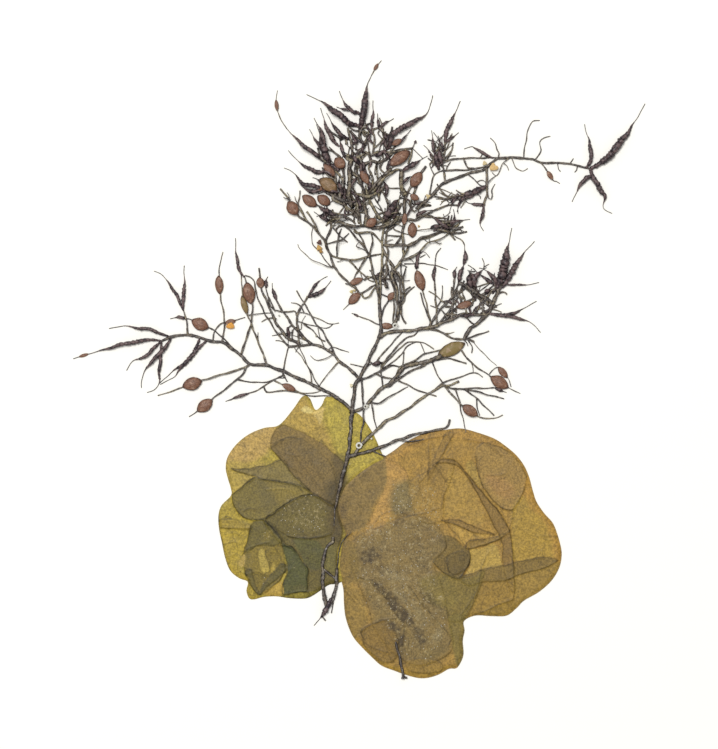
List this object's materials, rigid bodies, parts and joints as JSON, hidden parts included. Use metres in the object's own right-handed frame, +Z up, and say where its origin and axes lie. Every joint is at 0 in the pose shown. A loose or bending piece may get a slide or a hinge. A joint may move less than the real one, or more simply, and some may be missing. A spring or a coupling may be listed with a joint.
{
  "type": "oyster thief seaweed",
  "caption": "Pressed and dried specimen: collapsed papery oyster thief bladders at the foot of the wiry, forked brown seaweed they grew on, with its gas vesicles and pointed receptacles",
  "frame": {"origin": "centre of the specimen's box as seen from above, on the surface it lies on", "axes": "+Z up off the surface; +Y from the bladders towards the crown of the host; +X towards the long arm"},
  "size_m": [0.229, 0.2472, 0.0058],
  "materials": {
    "left_bladder": "dry, papery, half translucent olive",
    "right_bladder": "dry, papery, half translucent ochre",
    "host_stem": "dry, wrinkled, dark grey-brown",
    "host_frond": "dry, wrinkled, dark brown with reddish vesicles",
    "worm_lime": "white lime",
    "crust": "matt orange"
  },
  "bodies": {
    "root": {"oyster_thief_left": "left_bladder", "oyster_thief_right": "right_bladder", "host_main_stem": "host_stem", "host_basal_shoots": "host_stem", "host_stub": "host_stem", "host_frond_left": "host_frond", "host_frond_crown": "host_frond", "host_frond_arm": "host_frond", "host_frond_right": "host_frond", "tube_worm_1": "worm_lime", "tube_worm_2": "worm_lime", "tube_worm_3": "worm_lime", "orange_crust_1": "crust", "orange_crust_2": "crust"}
  },
  "joints": []
}
